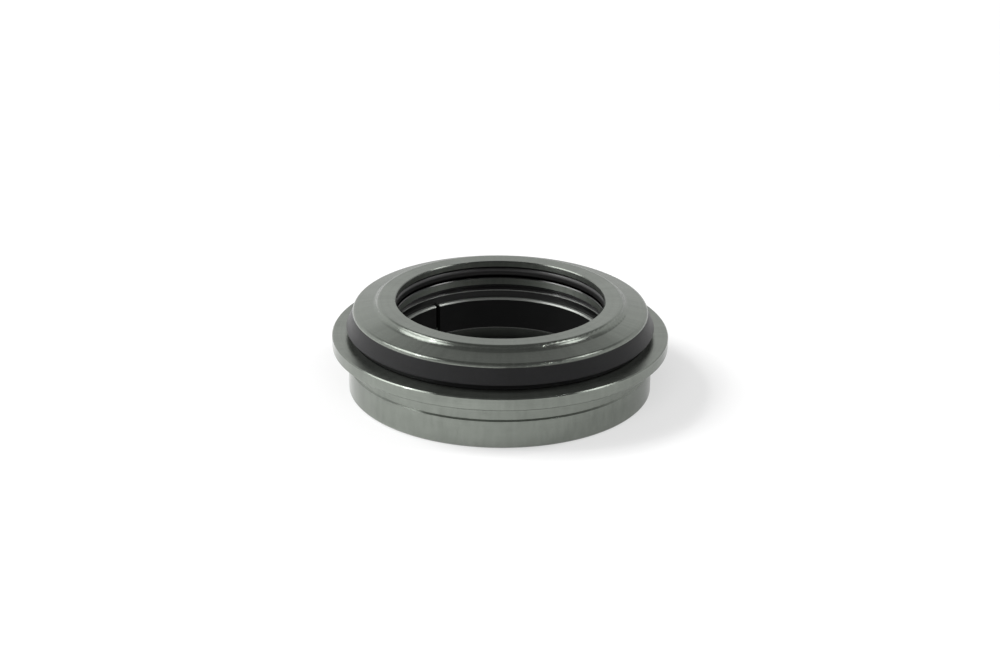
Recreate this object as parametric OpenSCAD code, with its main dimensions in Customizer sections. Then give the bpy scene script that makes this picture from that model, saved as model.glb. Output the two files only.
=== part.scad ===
// Upper assembly of a zero-stack bicycle headset: a cup pressed into the head tube, an
// angular-contact cartridge bearing, a split compression ring in the bearing's bore and a
// sealed top cover that stands on the bearing's inner race.
// Millimetres. +Z is the steering axis, and the origin is the middle of the cup's lower rim.

/* [Cup] */
// Diameter of the land that is pressed into the head tube
cup_od = 56; // [50:0.1:60]
// Thickness of the cup's wall round the bearing
cup_wall = 1.98; // [0.9:0.02:2.5]
// Depth of the cup below its flange
cup_insert = 8.5; // [7.6:0.1:14]
// Height of the press land above the lower rim
land_height = 5.4; // [3:0.1:7]
// How far the band above the press land is turned down, on the radius
land_relief = 0.25; // [0.1:0.05:0.5]
// Height of the chamfer at the top of the press land
land_chamfer = 0.3; // [0.05:0.05:0.5]
// Diameter of the flange that sits on the head tube
flange_od = 61.9; // [59.6:0.1:66]
// Thickness of the flange
flange_thickness = 2.3; // [1.6:0.1:4]
// Chamfer on the flange's two edges
flange_chamfer = 0.18; // [0.05:0.01:0.5]
// Chamfer on the lower rim's outer edge, which starts the cup in the head tube
lead_chamfer = 0.32; // [0.1:0.02:0.8]
// How far the lip reaches in under the bearing, on the radius
lip_reach = 4.02; // [2.5:0.02:6]
// Least gap between the lip and the compression ring, on the radius
lip_room = 0.8; // [0.4:0.1:2]
// Chamfer on both edges of the lip's bore
lip_chamfer = 0.3; // [0.1:0.05:0.6]
// Chamfer at the mouth of the bearing pocket
pocket_chamfer = 0.35; // [0.1:0.05:0.5]

/* [Bearing] */
// Height of the cartridge bearing, which fills the room between the cup and the ring
bearing_height = 7; // [6:0.1:8]
// 45 degree chamfer low on the outer race, which seats in the cup
seat_chamfer = 1.4; // [1:0.1:1.7]
// Chamfer on the races' other corners
race_chamfer = 0.4; // [0.1:0.05:0.5]
// Diameter of a ball, where the races leave it room
ball_diameter = 3.175; // [2.6:0.025:3.7]
// Least thickness of a race behind its balls
race_wall = 0.75; // [0.5:0.05:1.2]
// Number of balls in the cage
ball_count = 32; // [20:1:36]
// Gap between a ball and each raceway
ball_clearance = 0.05; // [0.02:0.01:0.1]
// Raceway radius over ball radius
raceway_ratio = 1.06; // [1.04:0.01:1.15]
// Raceway depth below the race's shoulder over ball radius
raceway_depth = 0.43; // [0.3:0.01:0.5]
// Angle of the contact line through a ball, above the horizontal
contact_angle = 45; // [15:5:60]
// Height of the bearing's top face above the top of the flange
bearing_rise = 0.6; // [0:0.1:0.8]
// Slip clearance between the bearing and the cup's pocket, on the radius
pocket_clearance = 0.02; // [0:0.01:0.1]
// Free height between the bearing's lower face and the cup's lip
ledge_gap = 0.4; // [0.2:0.1:0.8]

/* [Bearing cage and seals] */
// Gap between the cage and the shoulder of each race
cage_gap = 0.35; // [0.2:0.05:0.5]
// Gap between a ball and its pocket in the cage
pocket_gap = 0.1; // [0.05:0.01:0.15]
// Height of the cage's ring below the pockets
cage_web = 0.65; // [0.4:0.05:0.8]
// Height of the cage's fingers above the middle of the balls
cage_rise = 0.75; // [0.4:0.05:1.2]
// Thickness of a bearing seal
shield_thickness = 0.5; // [0.3:0.05:0.6]
// Depth of a bearing seal below the face of the bearing
shield_inset = 0.3; // [0.15:0.05:0.4]
// Depth of the seal's groove in the outer race
shield_groove = 0.4; // [0.2:0.05:0.5]
// Gap between the seal's lip and the inner race
shield_gap = 0.1; // [0.05:0.01:0.3]

/* [Compression ring] */
// Diameter of the steerer tube
steerer_diameter = 38.1; // [34:0.1:42.7]
// Clearance between the steerer and the relaxed compression ring, on the radius
ring_clearance = 0.05; // [0:0.01:0.15]
// Thickness of the ring
ring_wall = 0.85; // [0.5:0.05:1.5]
// Height of the ring
ring_height = 6.35; // [4:0.05:6.8]
// Depth of the ring's top edge below the bearing's top face
ring_drop = 1.85; // [0:0.05:3]
// Clearance between the ring and the bearing's bore, on the radius
ring_gap = 0.05; // [0.01:0.01:0.1]
// Width of the slit
slit_width = 0.9; // [0.4:0.1:3]
// Direction of the slit, counted from +X towards +Y
slit_angle = 128.5; // [0:0.5:360]
// Chamfer on the ring's upper inner edge
ring_chamfer = 0.25; // [0.1:0.05:0.35]
// Radius on the ring's lower inner edge
ring_round = 0.42; // [0.2:0.02:0.44]

/* [Top cover] */
// Height of the cover above the bearing
cover_height = 5.8; // [5.4:0.05:9]
// Clearance between the steerer and the cover's bore, on the radius
cover_clearance = 0.15; // [0.1:0.01:0.25]
// Width of the flat top, from the bore, which the spacers and the stem stand on
crown_land = 2.9; // [2.3:0.05:3.5]
// How far the brim reaches past the flat top
brim_reach = 5.05; // [4:0.05:6.5]
// Least distance of the cover's rim outside the bearing, on the radius
rim_room = 1.1; // [1:0.05:1.5]
// Radius of the crown's rounded edge
crown_round = 0.7; // [0.4:0.05:0.9]
// Steepest slope between the crown and the brim
crown_slope = 60; // [45:1:75]
// Radius of the hollow curve below the crown
brim_hollow = 1.25; // [0.8:0.05:1.5]
// Slope of the brim
brim_slope = 11.5; // [4:0.5:13]
// Radius of the brim's outer edge
brim_round = 0.75; // [0.5:0.05:0.8]
// Height from the underside of the brim to the flat top
brim_height = 2.25; // [2.2:0.05:2.5]
// Thickness of the boss that stands on the bearing's inner race
boss_wall = 3; // [2.4:0.05:3.6]
// Bevel at the foot of the boss's bore
boss_bevel = 1.1; // [0.5:0.05:1.2]
// Chamfer on the bore's edges
bore_chamfer = 0.18; // [0.05:0.01:0.3]
// How far the spigot that holds the skirt seal stands in from the rim
spigot_inset = 1.35; // [1.1:0.05:1.8]
// Radial thickness of the spigot
spigot_wall = 0.9; // [0.6:0.05:1.5]
// Length of the spigot below the brim
spigot_length = 1.5; // [1.1:0.05:1.8]
// Height and reach of the barb on the spigot
spigot_barb = 0.25; // [0.1:0.05:0.4]

/* [Rubber seals] */
// Thickness of the steerer's O-ring
o_ring_cord = 2; // [1.5:0.05:2.1]
// How far the O-ring reaches inside the cover's bore
o_ring_reach = 0.05; // [0:0.01:0.1]
// Width of the O-ring's groove
groove_width = 2.25; // [2.1:0.05:2.4]
// Depth of the groove's upper edge below the flat top
groove_from_top = 1.1; // [0.8:0.05:1.3]
// Free depth behind the O-ring
groove_gap = 0.05; // [0:0.01:0.2]
// Height of the skirt seal's outer wall
skirt_seal_height = 2.95; // [2.2:0.05:3.2]
// How far the skirt seal's lower edge stands out past the rim
skirt_seal_flare = 1.15; // [0.5:0.05:1.8]
// Radial step between the cover's rim and the top of the skirt seal
skirt_seal_step = 0.05; // [0:0.01:0.3]
// Thickness of the skirt seal's foot, where the wiper lip starts
skirt_seal_foot = 0.85; // [0.5:0.05:1.2]
// Bevel on the skirt seal's outer edges
skirt_seal_bevel = 0.14; // [0.05:0.01:0.3]
// Thickness of the wiper lip
lip_thickness = 0.4; // [0.3:0.05:0.6]
// Gap between the wiper lip and the flange
lip_gap = 0.15; // [0.1:0.01:0.3]

/* [Hidden] */
$fn = 96;
// How far a cutter reaches past what it cuts
past = 1;

// Heights, from the lower rim up
flange_top = cup_insert + flange_thickness;
bearing_top = flange_top + bearing_rise;
bearing_bottom = bearing_top - bearing_height;
ledge_top = bearing_bottom - ledge_gap;
ball_z = (bearing_top + bearing_bottom) / 2;
ring_top = bearing_top - ring_drop;
ring_bottom = ring_top - ring_height;
cover_top = bearing_top + cover_height;
brim_z = cover_top - brim_height;
groove_top = cover_top - groove_from_top;
groove_z = groove_top - groove_width / 2;
foot_z = brim_z - skirt_seal_height;
lip_z = flange_top + lip_gap;

// Radii, from the steerer out
ring_r = steerer_diameter / 2 + ring_clearance;
ring_outer_r = ring_r + ring_wall;
race_bore_r = ring_outer_r + ring_gap;
cover_bore_r = steerer_diameter / 2 + cover_clearance;
crown_r = cover_bore_r + crown_land;
boss_r = cover_bore_r + boss_wall;
o_ring_r = cover_bore_r - o_ring_reach + o_ring_cord / 2;
groove_r = o_ring_r + o_ring_cord / 2 + groove_gap;

// Radii, from the cup in
cup_r = cup_od / 2;
flange_r = flange_od / 2;
pocket_r = cup_r - cup_wall;
lip_r = max(pocket_r - lip_reach, ring_outer_r + lip_room);
bearing_r = pocket_r - pocket_clearance;

// The cover's rim and its seal, which stand outside the bearing and over the flange
cover_r = max(crown_r + brim_reach, bearing_r + rim_room);
spigot_r = cover_r - spigot_inset;
foot_r = cover_r + skirt_seal_flare;

// The bearing between them: its balls are limited by the races' walls and by the seals
section = bearing_r - race_bore_r;
pitch_r = (bearing_r + race_bore_r) / 2;
ball_room = bearing_height / 2 - shield_inset - shield_thickness - cage_web - 2 * pocket_gap;
ball_r = min(ball_diameter / 2, section / 2 - race_wall, ball_room);
raceway_r = ball_r * raceway_ratio;
shoulder = ball_r * (1 - raceway_depth);
outer_land_r = pitch_r + shoulder;
inner_land_r = pitch_r - shoulder;
shield_r = outer_land_r + shield_groove;
seat = min(seat_chamfer, section / 2 - shoulder - shield_groove);

// The cover's outer curve: the crown's round edge, the hollow below it, the sloping brim and
// the round rim, each one tangent to the next
crown_c = [crown_r, cover_top - crown_round];
crown_corner = [crown_r + crown_round * tan(crown_slope / 2), cover_top];
hollow_c = crown_c + polar(crown_round + brim_hollow, 90 - crown_slope);
curve_turn = hollow_c - polar(brim_hollow, 90 - crown_slope);
brim_start = hollow_c - polar(brim_hollow, 90 - brim_slope);
rim_corner = [cover_r, brim_start[1] - (cover_r - brim_start[0]) * tan(brim_slope)];
rim_setback = brim_round * tan(45 - brim_slope / 2);
rim_c = [cover_r - brim_round, rim_corner[1] - rim_setback];

function polar(r, a) = [r * cos(a), r * sin(a)];
function ball_name(i) = str("ball_", i < 10 ? "0" : "", i);

gunmetal = [0.45, 0.47, 0.44];
black_anodised = [0.07, 0.07, 0.07];
bearing_steel = [0.62, 0.63, 0.65];
black_rubber = [0.12, 0.12, 0.13];
cage_nylon = [0.24, 0.2, 0.15];

// A disc in the section plane, at a point given as radius and height
module disc_at(centre, radius) {
    translate(centre) circle(radius);
}

// What is cut off a section to round its corner: the part of the corner outside a disc that
// touches the two sides at start and end
module round_off(corner, start, end, centre, radius) {
    difference() {
        polygon([start, centre + 2 * (corner - centre), end]);
        disc_at(centre, radius);
    }
}

// A rectangle in the section plane, between two radii and two heights
module band(r0, r1, z0, z1) {
    translate([r0, z0]) square([r1 - r0, z1 - z0]);
}

// The pressed cup: lip, bearing seat, pocket, press land, relief and flange
module cup() {
    relief_r = cup_r - land_relief;
    seat_foot_r = bearing_r - seat - ledge_gap;
    seat_head_z = bearing_bottom + seat + pocket_clearance;
    color(gunmetal) rotate_extrude() polygon([
        [lip_r + lip_chamfer, 0],
        [cup_r - lead_chamfer, 0],
        [cup_r, lead_chamfer],
        [cup_r, land_height - land_chamfer],
        [relief_r, land_height],
        [relief_r, cup_insert],
        [flange_r - flange_chamfer, cup_insert],
        [flange_r, cup_insert + flange_chamfer],
        [flange_r, flange_top - flange_chamfer],
        [flange_r - flange_chamfer, flange_top],
        [pocket_r + pocket_chamfer, flange_top],
        [pocket_r, flange_top - pocket_chamfer],
        [pocket_r, seat_head_z],
        [seat_foot_r, ledge_top],
        [lip_r + lip_chamfer, ledge_top],
        [lip_r, ledge_top - lip_chamfer],
        [lip_r, lip_chamfer]
    ]);
}

// The seals' grooves in a race, above and below the balls
module shield_grooves() {
    for (z = [bearing_top - shield_inset - shield_thickness, bearing_bottom + shield_inset])
        band(inner_land_r, shield_r, z, z + shield_thickness);
}

// The raceway of one race. Its centre lies back from the ball's along the contact line, so
// that the ball bears at the contact angle; side is 1 on the outer race and -1 on the inner
module raceway(side) {
    offset_back = raceway_r - ball_r - ball_clearance;
    disc_at([pitch_r, ball_z] - side * polar(offset_back, -contact_angle), raceway_r);
}

// The outer race, with its seat chamfer below
module bearing_outer_race() {
    color(bearing_steel) rotate_extrude() difference() {
        polygon([
            [outer_land_r, bearing_bottom],
            [bearing_r - seat, bearing_bottom],
            [bearing_r, bearing_bottom + seat],
            [bearing_r, bearing_top - race_chamfer],
            [bearing_r - race_chamfer, bearing_top],
            [outer_land_r, bearing_top]
        ]);
        raceway(1);
        shield_grooves();
    }
}

// The inner race, which the cover stands on
module bearing_inner_race() {
    color(bearing_steel) rotate_extrude() difference() {
        polygon([
            [race_bore_r + race_chamfer, bearing_bottom],
            [inner_land_r, bearing_bottom],
            [inner_land_r, bearing_top],
            [race_bore_r + race_chamfer, bearing_top],
            [race_bore_r, bearing_top - race_chamfer],
            [race_bore_r, bearing_bottom + race_chamfer]
        ]);
        raceway(-1);
    }
}

// Places its children at ball number i
module at_ball(i) {
    rotate([0, 0, 360 * (i - 1) / ball_count]) translate([pitch_r, 0, ball_z]) children();
}

// One ball
module ball(i) {
    color(bearing_steel) at_ball(i) sphere(ball_r);
}

// The crown cage: a ring below the balls with a finger between each pair of them
module bearing_cage() {
    pocket = ball_r + pocket_gap;
    color(cage_nylon) difference() {
        rotate_extrude() band(
            inner_land_r + cage_gap, outer_land_r - cage_gap,
            ball_z - pocket - cage_web, ball_z + cage_rise);
        for (i = [1:ball_count]) at_ball(i) sphere(pocket);
    }
}

// The section of a bearing seal that lies on z0, with its lip on the far side from the balls
// when rise is 1 and on the near side when rise is 0
module shield_section(z0, rise) {
    lip_r0 = inner_land_r + shield_gap;
    lip_z0 = z0 + rise * shield_thickness / 2;
    polygon([
        [lip_r0, lip_z0],
        [lip_r0 + shield_thickness, z0],
        [shield_r, z0],
        [shield_r, z0 + shield_thickness],
        [lip_r0 + shield_thickness, z0 + shield_thickness],
        [lip_r0, lip_z0 + shield_thickness / 2]
    ]);
}

module bearing_seal_upper() {
    color(black_rubber) rotate_extrude()
        shield_section(bearing_top - shield_inset - shield_thickness, 1);
}

module bearing_seal_lower() {
    color(black_rubber) rotate_extrude() shield_section(bearing_bottom + shield_inset, 0);
}

// The compression ring: a thin sleeve in the bearing's bore, whose slit lets it close on the
// steerer
module compression_ring() {
    lower_edge = [ring_r + ring_round, ring_bottom + ring_round];
    color(black_anodised) difference() {
        rotate_extrude() difference() {
            polygon([
                [ring_r, ring_bottom],
                [ring_outer_r - ring_gap, ring_bottom],
                [ring_outer_r, ring_bottom + ring_gap],
                [ring_outer_r, ring_top - ring_gap],
                [ring_outer_r - ring_gap, ring_top],
                [ring_r + ring_chamfer, ring_top],
                [ring_r, ring_top - ring_chamfer]
            ]);
            round_off([ring_r, ring_bottom], [ring_r, lower_edge[1]],
                [lower_edge[0], ring_bottom], lower_edge, ring_round);
        }
        rotate([0, 0, slit_angle]) translate([0, -slit_width / 2, ring_bottom - past])
            cube([ring_outer_r + past, slit_width, ring_height + 2 * past]);
    }
}

// The O-ring that grips the steerer and seals the cover's bore
module steerer_o_ring() {
    color(black_rubber) rotate_extrude() disc_at([o_ring_r, groove_z], o_ring_cord / 2);
}

// The spigot's corners, from its root inwards: the skirt seal is stretched over its barb
spigot_z = brim_z - spigot_length;
spigot_points = [
    [spigot_r, brim_z],
    [spigot_r, spigot_z + 2 * spigot_barb],
    [spigot_r + spigot_barb, spigot_z + spigot_barb],
    [spigot_r, spigot_z],
    [spigot_r - spigot_wall, spigot_z],
    [spigot_r - spigot_wall, brim_z]
];

// The top cover: crown, hollow, brim, the spigot, and the boss with the O-ring's groove
module top_cover() {
    color(gunmetal) rotate_extrude() difference() {
        polygon(concat([
            [cover_bore_r, cover_top - bore_chamfer],
            [cover_bore_r + bore_chamfer, cover_top],
            crown_corner,
            curve_turn,
            brim_start,
            rim_corner,
            [cover_r, brim_z]
        ], spigot_points, [
            [boss_r, brim_z],
            [boss_r, bearing_top],
            [cover_bore_r + boss_bevel, bearing_top],
            [cover_bore_r, bearing_top + boss_bevel]
        ]));
        round_off(crown_corner, [crown_r, cover_top], curve_turn, crown_c, crown_round);
        disc_at(hollow_c, brim_hollow);
        round_off(rim_corner, rim_corner - polar(rim_setback, -brim_slope),
            [cover_r, rim_c[1]], rim_c, brim_round);
        polygon([
            [cover_bore_r - bore_chamfer, groove_top - groove_width - 2 * bore_chamfer],
            [cover_bore_r + bore_chamfer, groove_top - groove_width],
            [groove_r, groove_top - groove_width],
            [groove_r, groove_top],
            [cover_bore_r - bore_chamfer, groove_top]
        ]);
    }
}

// The skirt seal: an outer wall that flares down, a hook on the spigot and a wiper lip that
// runs just above the flange
module skirt_seal() {
    hook_r = spigot_r - spigot_wall + spigot_barb;
    hook_z = brim_z - spigot_length - 2 * spigot_barb;
    top_r = cover_r + skirt_seal_step;
    foot_inner_r = foot_r - skirt_seal_foot;
    color(black_rubber) rotate_extrude() difference() {
        polygon([
            [hook_r, brim_z],
            [hook_r, hook_z],
            [foot_inner_r - 2 * lip_thickness, foot_z + spigot_barb],
            [foot_inner_r - 1.5 * lip_thickness, lip_z],
            [foot_inner_r - lip_thickness / 2, lip_z],
            [foot_inner_r, foot_z],
            [foot_r - skirt_seal_bevel, foot_z],
            [foot_r, foot_z + skirt_seal_bevel],
            [top_r, brim_z - skirt_seal_bevel],
            [top_r - skirt_seal_bevel, brim_z]
        ]);
        polygon(spigot_points);
    }
}

cup();
bearing_outer_race();
bearing_inner_race();
bearing_cage();
bearing_seal_upper();
bearing_seal_lower();
compression_ring();
steerer_o_ring();
top_cover();
skirt_seal();
for (i = [1:ball_count])
    ball(i);
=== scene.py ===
"""Looks for the headset's upper assembly: finishes, lights, floor and camera.

Lengths are metres, in the CAD model's own frame: +Z is the steering axis and the cup's lower
rim lies on z = 0. Inside the materials, radii and heights are in millimetres.
"""

import math

import bpy
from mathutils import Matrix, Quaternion, Vector

MM = 0.001

# The camera, as the photograph was taken. Its frame is 1000 by 667 pixels.
IMAGE_WIDTH = 1000
SENSOR_WIDTH = 36.0
FOCAL_PIXELS = 2160
CAMERA_DISTANCE = 400 * MM
CAMERA_ELEVATION = math.radians(22.84)
CAMERA_ROLL = math.radians(0.54)
CAMERA_TARGET = Vector((0, 0, 8 * MM))
TARGET_BELOW_CENTRE = 10.7
CLIP_START = 10 * MM
CLIP_END = 20.0

# Colours, linear
GUNMETAL = (0.190, 0.205, 0.184)
BLACK_ANODISED = (0.008, 0.008, 0.008)
# Painted highlight: the lighter colour given to the ring's and the inner race's edges, where they catch
# light
EDGE_HIGHLIGHT_COLOUR = (0.24, 0.25, 0.236)
BEARING_STEEL = (0.50, 0.505, 0.51)
BALL_STEEL = (0.60, 0.60, 0.61)
# Painted shade: the dark colour laid in the cover's undercut and the race's bore, where shade falls
PAINTED_SHADE_COLOUR = (0.09, 0.09, 0.09)
CAGE_NYLON = (0.22, 0.17, 0.11)
SHIELD_RUBBER = (0.012, 0.012, 0.012)
O_RING_RUBBER = (0.008, 0.008, 0.008)
SEAL_RUBBER = (0.015, 0.015, 0.0155)
# What metals reflect at a glancing angle
EDGE_TINT = (0.8, 0.8, 0.8, 1.0)

# Turned metal: how far its colour and roughness vary, and how its tool marks spread the light
TONE_RANGE = (0.65, 1.35)
ROUGHNESS_RANGE = 0.08
TURNED_ANISOTROPY = 0.9
QUARTER_TURN = 0.25
TURNED_DEPTH = 0.0004 * MM
# How much less metallic the race's painted highlight edge is
EDGE_HIGHLIGHT_METALLIC_LOSS = 0.5

# The inside, in millimetres, and the roughness of the coarsely turned lands in the cover's bore
INNER_RADIUS = 22.3
INNER_TOP = 17.1
BELOW_RIM = -1.0
LAND_RADIUS = 19.25
LAND_ROUGHNESS = 0.58
# The land above this height is turned more finely, and is this much less rough
FINE_LAND_Z = 15.0
FINER = 0.24
# Places painted dark as shade: the lowest and highest radius, then the lowest and highest height
COVER_UNDERCUT = ((19.22, INNER_RADIUS), (5.0, INNER_TOP))
RACE_BORE = ((0.0, 20.5), (0.0, INNER_TOP))
# Heights between which the inner race's upper corner is painted lighter, as a painted highlight
RACE_EDGE_Z = (10.85, 11.04)
NO_EDGE = (0.0, 0.0)

# Black anodising: the heights above and below which the ring's edges are painted lighter and more
# metallic, as painted highlights
RING_EDGE_Z = 9.3
RING_FOOT_Z = 3.62
RING_PITCH = 0.2
RING_DEPTH = 0.0006 * MM
RING_ROUGHNESS = 0.3
RING_SPECULAR = 0.15
# How metallic the ring's painted highlight edges are
EDGE_HIGHLIGHT_METALLIC = 0.6

RUBBER_GRAIN = 0.01 * MM
RUBBER_IOR = 1.5
NYLON_GRAIN = 0.01 * MM
NYLON_ROUGHNESS = 0.45
SCRATCH_SCALE = 2000

# The floor. Its own glow and its lit share together make it white. Inside the cup's rim, where
# little light falls, its colour is darkened as painted shade, and only the camera and reflections see
# it glow.
FLOOR_HALF = 3.0
FLOOR_SHADE = 0.485
INNER_SHADE = 0.1
FLOOR_GLOW = 0.41
GLOW_INNER_RADIUS = 27.6
# Painted reflection: what the floor's glow gains in reflections only, from the right of the axis to the
# left of it
GAIN_STOPS = ((0.0, 0.02), (0.5, 0.37))
GAIN_PER_METRE = 10.0
GAIN_START = 0.2
# The glow within the cup, by share of GLOW_INNER_RADIUS, fading out towards the bore as painted shade,
# and the share of it that metal reflects
INNER_STOPS = ((0.45, 0.55), (0.74, 0.0))
INNER_MIRRORED = 0.2
# The far floor's glow, by the distance in metres
FAR_STOPS = ((0.15, 0.0), (1.0, 0.6))

# The world: its plain fill, and the mirrored backdrop's brightness by the height of the ray
WORLD_FILL = 0.25
WHITE = (1.0, 1.0, 1.0)
BACKDROP_STOPS = ((0.0, 1.0), (0.42, 1.0), (0.72, 0.25), (0.85, 0.09), (1.0, 0.08))
BACKDROP_LEVEL = 1.08
DARKER_BEHIND_CAMERA = 0.7
DARKER_RIGHT = 0.2

# Lamps: name, direction from the object, distance, width and height, watts, seen in reflections
LAMPS = (
    ("softbox_left", (-0.682, 0.02, 0.731), 0.9, (0.64, 0.38), 3.4, True),
    ("softbox_right", (0.656, -0.015, 0.755), 0.9, (0.32, 0.22), 1.1, True),
    ("spot_left", (-0.69, -0.18, 0.70), 0.9, (0.03, 0.03), 0.35, True),
    ("spot_right", (0.515, -0.478, 0.71), 0.9, (0.025, 0.025), 0.2, True),
    ("shadow_left", (-0.70, 0.03, 0.70), 1.0, (0.5, 0.4), 5.3, False),
    ("shadow_right", (0.66, -0.02, 0.75), 1.0, (0.4, 0.3), 2.2, False),
    ("low_left", (-0.96, -0.1, 0.22), 0.9, (0.45, 0.3), 3.0, False),
    ("fill", (0.0, -0.7, 0.7), 1.2, (1.0, 0.6), 4.8, False),
)


class Tree:
    """A material's or world's node tree, with short ways to add and join nodes."""

    def __init__(self, owner):
        owner.use_nodes = True
        self.nodes = owner.node_tree.nodes
        self.links = owner.node_tree.links
        self.nodes.clear()

    def add(self, kind, **values):
        node = self.nodes.new(kind)
        for name, value in values.items():
            setattr(node, name, value)
        return node

    def join(self, source, target):
        self.links.new(source, target)

    def put(self, value, socket):
        """Joins value to socket if it is an output, or sets it there if it is a number."""
        if isinstance(value, bpy.types.NodeSocket):
            self.join(value, socket)
        else:
            socket.default_value = value

    def math(self, operation, *values):
        node = self.add("ShaderNodeMath", operation=operation)
        for value, socket in zip(values, node.inputs):
            self.put(value, socket)
        return node.outputs[0]

    def plus(self, a, b):
        return self.math("ADD", a, b)

    def minus(self, a, b):
        return self.math("SUBTRACT", a, b)

    def times(self, a, b):
        return self.math("MULTIPLY", a, b)

    def over(self, a, b):
        return self.math("DIVIDE", a, b)

    def ramp(self, factor, *stops):
        """A number that follows the stops (position, value), smoothly."""
        node = self.add("ShaderNodeValToRGB")
        node.color_ramp.interpolation = "EASE"
        elements = node.color_ramp.elements
        while len(elements) < len(stops):
            elements.new(0.5)
        for element, (position, value) in zip(elements, stops):
            element.position = position
            element.color = (value, value, value, 1)
        self.join(factor, node.inputs["Fac"])
        return node.outputs["Color"]

    def mix(self, factor, a, b):
        """Colour a where factor is 0 and b where it is 1."""
        node = self.add("ShaderNodeMix", data_type="RGBA")
        self.put(factor, node.inputs["Factor"])
        for value, socket in ((a, node.inputs[6]), (b, node.inputs[7])):
            if isinstance(value, bpy.types.NodeSocket):
                self.join(value, socket)
            else:
                socket.default_value = (*value, 1)
        return node.outputs[2]

    def shades(self, factor, colour, darkest, lightest):
        """The colour, from its darkest share where factor is 0 to its lightest where it is 1."""
        dark = tuple(part * darkest for part in colour)
        light = tuple(part * lightest for part in colour)
        return self.mix(factor, dark, light)


def polar_coordinates(tree):
    """Radius and height in millimetres, and the two parts of the direction round the axis."""
    place = tree.add("ShaderNodeTexCoord").outputs["Object"]
    parts = tree.add("ShaderNodeSeparateXYZ")
    tree.join(place, parts.inputs[0])
    x, y, z = parts.outputs
    radius = tree.math("SQRT", tree.plus(tree.times(x, x), tree.times(y, y)))
    cosine = tree.over(x, radius)
    sine = tree.over(y, radius)
    return tree.over(radius, MM), tree.over(z, MM), cosine, sine


def noise(tree, x, y, z, scale, detail=3.0, roughness=0.55):
    """Smooth noise from 0 to 1 at the point whose coordinates are given."""
    point = tree.add("ShaderNodeCombineXYZ")
    for value, socket in zip((x, y, z), point.inputs):
        tree.put(value, socket)
    node = tree.add("ShaderNodeTexNoise")
    node.inputs["Scale"].default_value = scale
    node.inputs["Detail"].default_value = detail
    node.inputs["Roughness"].default_value = roughness
    tree.join(point.outputs[0], node.inputs["Vector"])
    return node.outputs["Fac"]


def noise_around(tree, cosine, sine, height, rise, scale, **more):
    """Noise laid round the axis; the smaller rise is, the longer it is drawn out along it."""
    return noise(tree, cosine, sine, tree.times(height, rise), scale, **more)


def grains(tree, radius, height, cosine, sine, scale):
    """Noise of the same size in all directions."""
    return noise(tree, tree.times(cosine, radius), tree.times(sine, radius), height, scale)


def bump(tree, height, distance):
    node = tree.add("ShaderNodeBump")
    node.inputs["Strength"].default_value = 1.0
    node.inputs["Distance"].default_value = distance
    tree.join(height, node.inputs["Height"])
    return node.outputs["Normal"]


def surface(tree, **sockets):
    """The material's Principled shader, with its sockets set or joined by name."""
    shader = tree.add("ShaderNodeBsdfPrincipled")
    for name, value in sockets.items():
        tree.put(value, shader.inputs[name.replace("_", " ")])
    output = tree.add("ShaderNodeOutputMaterial")
    tree.join(shader.outputs[0], output.inputs["Surface"])
    return shader


def between(tree, value, low, high):
    """1 where value lies between low and high, and 0 elsewhere."""
    above = tree.math("GREATER_THAN", value, low)
    below = tree.math("LESS_THAN", value, high)
    return tree.times(above, below)


def centred(tree, value, amount):
    """A value from 0 to 1, moved to lie about 0 and made as wide as amount."""
    return tree.times(tree.minus(value, 0.5), amount)


def turning_lines(tree, radius, height, cosine, sine, pitch):
    """Height of fine tool marks that run round the axis, pitch apart in millimetres."""
    waver = tree.times(noise(tree, cosine, sine, 0.0, 3.0), 0.35)
    across = tree.plus(tree.over(radius, pitch), waver)
    along = tree.over(height, pitch)
    return noise(tree, across, along, 0.0, 1.0, detail=2.0, roughness=0.5)


def turned_tone(tree, lines, streaks, clouds, streak):
    """How light the metal is, about 0.5, from its tool marks, streaks and clouds."""
    worn = centred(tree, streaks, streak * 2)
    lined = centred(tree, lines, streak)
    cloudy = centred(tree, clouds, streak)
    return tree.plus(tree.plus(worn, lined), tree.plus(cloudy, 0.5))


def inner_zones(tree, radius, height):
    """1 on the inside, and 1 on the lands of the cover's bore."""
    round_inside = between(tree, radius, 0.0, INNER_RADIUS)
    inside = tree.times(round_inside, between(tree, height, BELOW_RIM, INNER_TOP))
    land = tree.times(between(tree, radius, 0.0, LAND_RADIUS), inside)
    return inside, land


def turned_roughness(tree, roughness, streaks, height, land):
    """Roughness that varies with the streaks and is higher on the lands."""
    rough = tree.plus(roughness, centred(tree, streaks, ROUGHNESS_RANGE))
    finer = tree.times(tree.math("GREATER_THAN", height, FINE_LAND_Z), FINER)
    coarse = tree.minus(LAND_ROUGHNESS - roughness, finer)
    return tree.plus(rough, tree.times(land, coarse))


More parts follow.
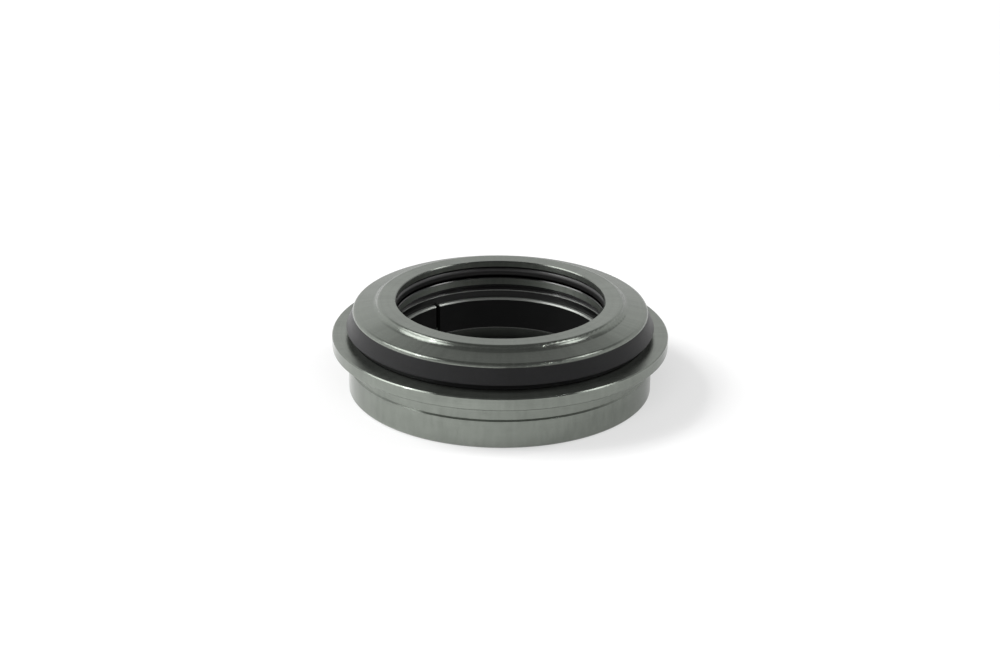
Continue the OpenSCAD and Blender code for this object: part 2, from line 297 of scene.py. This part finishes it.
def turned_metal(name, colour, roughness, painted_shade_zone, metallic=1.0, streak=0.1, pitch=0.16, edge=NO_EDGE):
    """Lathe-turned metal: tool marks round the axis and faint streaks across them.

    The third argument holds the radii and the heights between which a dark colour is laid as painted
    shade, and edge the heights of an edge painted lighter as a painted highlight. What lies inside is
    bare metal.
    """
    material = bpy.data.materials.new(name)
    tree = Tree(material)
    radius, height, cosine, sine = polar_coordinates(tree)
    lines = turning_lines(tree, radius, height, cosine, sine, pitch)
    streaks = noise_around(tree, cosine, sine, height, 0.01, 24.0, detail=4.0, roughness=0.7)
    clouds = noise_around(tree, cosine, sine, height, 0.1, 4.0, detail=2.0)
    base = tree.shades(turned_tone(tree, lines, streaks, clouds, streak), colour, *TONE_RANGE)
    # Painted shade: the dark colour where the given radii and heights meet
    painted_shade = tree.times(between(tree, radius, *painted_shade_zone[0]), between(tree, height, *painted_shade_zone[1]))
    inside, land = inner_zones(tree, radius, height)
    # Painted highlight: the given heights on the inside are painted lighter
    highlight_edge = tree.times(between(tree, height, *edge), inside)
    solid = tree.math("MAXIMUM", metallic, inside)
    tangent = tree.add("ShaderNodeTangent", direction_type="RADIAL", axis="Z")
    shader = surface(
        tree,
        Base_Color=tree.mix(highlight_edge, tree.mix(painted_shade, base, PAINTED_SHADE_COLOUR), EDGE_HIGHLIGHT_COLOUR),
        Roughness=turned_roughness(tree, roughness, streaks, height, land),
        Metallic=tree.minus(solid, tree.times(highlight_edge, EDGE_HIGHLIGHT_METALLIC_LOSS)),
        Specular_Tint=EDGE_TINT,
        Anisotropic=TURNED_ANISOTROPY,
        Anisotropic_Rotation=QUARTER_TURN,
        Normal=bump(tree, lines, TURNED_DEPTH),
    )
    tree.join(tangent.outputs[0], shader.inputs["Tangent"])
    return material


def black_anodised():
    """Black anodised aluminium: a dark body under a clear, glossy oxide, with edges painted lighter as
    painted highlights.
    """
    material = bpy.data.materials.new("anodised_black")
    tree = Tree(material)
    radius, height, cosine, sine = polar_coordinates(tree)
    lines = turning_lines(tree, radius, height, cosine, sine, RING_PITCH)
    clouds = noise_around(tree, cosine, sine, height, 0.1, 6.0)
    body = tree.shades(clouds, BLACK_ANODISED, 0.7, 1.3)
    # Painted highlight: above and below the given heights the ring is painted lighter and more metallic
    wavering = tree.plus(height, tree.times(clouds, 0.1))
    edge = tree.math("GREATER_THAN", wavering, RING_EDGE_Z)
    highlight_edge = tree.math("MAXIMUM", edge, tree.math("LESS_THAN", height, RING_FOOT_Z))
    surface(
        tree,
        Base_Color=tree.mix(highlight_edge, body, EDGE_HIGHLIGHT_COLOUR),
        Metallic=tree.times(highlight_edge, EDGE_HIGHLIGHT_METALLIC),
        Roughness=tree.plus(RING_ROUGHNESS, centred(tree, lines, 0.1)),
        Specular_IOR_Level=RING_SPECULAR,
        Normal=bump(tree, lines, RING_DEPTH),
    )
    return material


def rubber(name, colour, roughness, specular):
    """Moulded rubber: a fine grain, faint wiping marks and a little bloom."""
    material = bpy.data.materials.new(name)
    tree = Tree(material)
    radius, height, cosine, sine = polar_coordinates(tree)
    speckle = grains(tree, radius, height, cosine, sine, 5.0)
    wiped = noise_around(tree, cosine, sine, height, 0.03, 40.0, detail=4.0, roughness=0.7)
    bloom = noise_around(tree, cosine, sine, height, 0.1, 3.0)
    tone = tree.plus(tree.times(wiped, 0.5), tree.times(bloom, 0.5))
    surface(
        tree,
        Base_Color=tree.shades(tone, colour, 0.7, 1.35),
        Roughness=tree.plus(roughness, centred(tree, wiped, 0.2)),
        Specular_IOR_Level=specular,
        IOR=RUBBER_IOR,
        Normal=bump(tree, speckle, RUBBER_GRAIN),
    )
    return material


def nylon():
    """The moulded bearing cage."""
    material = bpy.data.materials.new("cage_nylon")
    tree = Tree(material)
    mottle = grains(tree, *polar_coordinates(tree), 1.5)
    surface(
        tree,
        Base_Color=tree.shades(mottle, CAGE_NYLON, 0.8, 1.2),
        Roughness=NYLON_ROUGHNESS,
        Normal=bump(tree, mottle, NYLON_GRAIN),
    )
    return material


def ball_steel():
    """Polished balls with the finest of scratches."""
    material = bpy.data.materials.new("ball_steel")
    tree = Tree(material)
    place = tree.add("ShaderNodeTexCoord").outputs["Object"]
    scratches = tree.add("ShaderNodeTexNoise")
    scratches.inputs["Scale"].default_value = SCRATCH_SCALE
    tree.join(place, scratches.inputs["Vector"])
    factor = scratches.outputs["Fac"]
    surface(
        tree,
        Base_Color=tree.shades(factor, BALL_STEEL, 0.9, 1.0),
        Roughness=tree.times(factor, 0.2),
        Metallic=1.0,
    )
    return material


def make_finishes():
    """The material of every node but the balls."""
    gunmetal = turned_metal(
        "anodised_gunmetal", GUNMETAL, 0.2, COVER_UNDERCUT, metallic=0.9, streak=0.35
    )
    steel = turned_metal("bearing_steel", BEARING_STEEL, 0.25, RACE_BORE, pitch=0.1, edge=RACE_EDGE_Z)
    shield = rubber("bearing_seal_rubber", SHIELD_RUBBER, 0.5, 0.3)
    return {
        "cup": gunmetal,
        "top_cover": gunmetal,
        "compression_ring": black_anodised(),
        "bearing_outer_race": steel,
        "bearing_inner_race": steel,
        "bearing_cage": nylon(),
        "bearing_seal_upper": shield,
        "bearing_seal_lower": shield,
        "steerer_o_ring": rubber("o_ring_rubber", O_RING_RUBBER, 0.36, 0.7),
        "skirt_seal": rubber("seal_rubber", SEAL_RUBBER, 0.4, 0.15),
    }


def dress(frame):
    """Gives every CAD node its finish."""
    balls = ball_steel()
    finishes = make_finishes()
    for name, node in frame["nodes"].items():
        node.data.materials.clear()
        node.data.materials.append(finishes.get(name, balls))


def make_camera():
    """The photograph's camera: aimed a little above the target, and rolled."""
    data = bpy.data.cameras.new("Camera")
    data.sensor_width = SENSOR_WIDTH
    data.lens = FOCAL_PIXELS / IMAGE_WIDTH * SENSOR_WIDTH
    data.clip_start = CLIP_START
    data.clip_end = CLIP_END
    back = Vector((0, -math.cos(CAMERA_ELEVATION), math.sin(CAMERA_ELEVATION)))
    camera = bpy.data.objects.new("Camera", data)
    camera.location = CAMERA_TARGET + back * CAMERA_DISTANCE
    tilt = math.atan(TARGET_BELOW_CENTRE / FOCAL_PIXELS)
    camera.rotation_mode = "QUATERNION"
    camera.rotation_quaternion = (
        back.to_track_quat("Z", "Y") @ Quaternion((0, 0, 1), CAMERA_ROLL) @ Quaternion((1, 0, 0), tilt)
    )
    bpy.context.scene.collection.objects.link(camera)
    bpy.context.scene.camera = camera


def make_lamp(name, direction, distance, size, watts, mirrored):
    """An area lamp that faces the object from the given direction, seen in reflections or not."""
    data = bpy.data.lights.new(name, "AREA")
    data.shape = "RECTANGLE"
    data.size, data.size_y = size
    data.energy = watts
    lamp = bpy.data.objects.new(name, data)
    away = Vector(direction).normalized()
    lamp.location = CAMERA_TARGET + away * distance
    lamp.rotation_mode = "QUATERNION"
    lamp.rotation_quaternion = away.to_track_quat("Z", "Y")
    lamp.visible_camera = False
    lamp.visible_glossy = mirrored
    bpy.context.scene.collection.objects.link(lamp)


def seen_directly(tree):
    """1 for a ray that the camera, a mirror or glass sends, and 0 for diffuse light."""
    path = tree.add("ShaderNodeLightPath")
    seen = tree.math("MAXIMUM", path.outputs["Is Camera Ray"], path.outputs["Is Glossy Ray"])
    return tree.math("MAXIMUM", seen, path.outputs["Is Transmission Ray"])


def painted_leftward_reflection(tree):
    """Painted reflection: a glow that reflections of the floor gain towards the left, standing in for
    stronger light there.
    """
    parts = tree.add("ShaderNodeSeparateXYZ")
    tree.join(tree.add("ShaderNodeTexCoord").outputs["Object"], parts.inputs[0])
    metres_left = tree.times(parts.outputs[0], -1.0)
    across = tree.plus(tree.times(metres_left, GAIN_PER_METRE), GAIN_START)
    gain = tree.ramp(across, *GAIN_STOPS)
    return tree.times(gain, tree.add("ShaderNodeLightPath").outputs["Is Glossy Ray"])


def inner_and_far_glow(tree, radius):
    """What the camera sees more: the floor within the cup, fading out towards the bore as painted
    shade, and the far floor kept white.
    """
    path = tree.add("ShaderNodeLightPath")
    camera = path.outputs["Is Camera Ray"]
    seen = tree.plus(camera, tree.times(path.outputs["Is Glossy Ray"], INNER_MIRRORED))
    within = tree.ramp(tree.over(radius, GLOW_INNER_RADIUS), *INNER_STOPS)
    far = tree.ramp(tree.over(radius, 1 / MM), *FAR_STOPS)
    return tree.plus(tree.times(within, seen), tree.times(far, camera))


def floor_material():
    """White by its own light and its lit share, which keeps the object's shadow."""
    material = bpy.data.materials.new("floor")
    tree = Tree(material)
    diffuse = tree.add("ShaderNodeBsdfDiffuse")
    glow = tree.add("ShaderNodeEmission")
    radius = polar_coordinates(tree)[0]
    outside = tree.math("GREATER_THAN", radius, GLOW_INNER_RADIUS)
    # Painted shade: within the cup's rim the floor's colour is darkened
    tree.join(tree.mix(outside, (INNER_SHADE,) * 3, (FLOOR_SHADE,) * 3), diffuse.inputs["Color"])
    share = tree.times(seen_directly(tree), outside)
    # Painted reflection: reflections of the floor glow more towards the left
    even = tree.times(share, tree.plus(FLOOR_GLOW, painted_leftward_reflection(tree)))
    tree.join(tree.plus(even, inner_and_far_glow(tree, radius)), glow.inputs["Strength"])
    both = tree.add("ShaderNodeAddShader")
    tree.join(diffuse.outputs[0], both.inputs[0])
    tree.join(glow.outputs[0], both.inputs[1])
    output = tree.add("ShaderNodeOutputMaterial")
    tree.join(both.outputs[0], output.inputs["Surface"])
    return material


def make_floor():
    """A wide floor under the object."""
    mesh = bpy.data.meshes.new("floor")
    corner_signs = ((-1, -1), (1, -1), (1, 1), (-1, 1))
    mesh.from_pydata([(x * FLOOR_HALF, y * FLOOR_HALF, 0) for x, y in corner_signs], [], [(0, 1, 2, 3)])
    floor = bpy.data.objects.new("floor", mesh)
    bpy.context.scene.collection.objects.link(floor)
    mesh.materials.append(floor_material())


def make_world():
    """White to the camera; in reflections a white backdrop that darkens overhead."""
    world = bpy.data.worlds.new("studio")
    bpy.context.scene.world = world
    tree = Tree(world)
    path = tree.add("ShaderNodeLightPath")
    parts = tree.add("ShaderNodeSeparateXYZ")
    tree.join(tree.add("ShaderNodeTexCoord").outputs["Generated"], parts.inputs[0])
    x, y, z = parts.outputs
    upwards = tree.ramp(z, *BACKDROP_STOPS)
    towards_camera = tree.math("MAXIMUM", tree.times(y, -1.0), 0.0)
    behind_camera = tree.times(towards_camera, DARKER_BEHIND_CAMERA)
    darker = tree.plus(behind_camera, tree.times(x, DARKER_RIGHT))
    backdrop = tree.times(upwards, tree.minus(BACKDROP_LEVEL, darker))
    mirrored = tree.mix(path.outputs["Is Glossy Ray"], (WORLD_FILL,) * 3, backdrop)
    seen = tree.mix(path.outputs["Is Camera Ray"], mirrored, WHITE)
    background = tree.add("ShaderNodeBackground")
    tree.join(seen, background.inputs["Color"])
    output = tree.add("ShaderNodeOutputWorld")
    tree.join(background.outputs[0], output.inputs["Surface"])


def make_studio():
    view = bpy.context.scene.view_settings
    view.view_transform = "Standard"
    make_floor()
    make_world()
    for lamp in LAMPS:
        make_lamp(*lamp)
    make_camera()


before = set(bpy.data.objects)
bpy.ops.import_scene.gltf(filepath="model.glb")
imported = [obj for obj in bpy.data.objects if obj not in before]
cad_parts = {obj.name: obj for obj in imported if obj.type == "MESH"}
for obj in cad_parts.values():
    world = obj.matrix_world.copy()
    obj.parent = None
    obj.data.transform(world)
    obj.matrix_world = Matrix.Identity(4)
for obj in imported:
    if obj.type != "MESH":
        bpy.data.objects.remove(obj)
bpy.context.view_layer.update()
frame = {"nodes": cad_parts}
dress(frame)
make_studio()
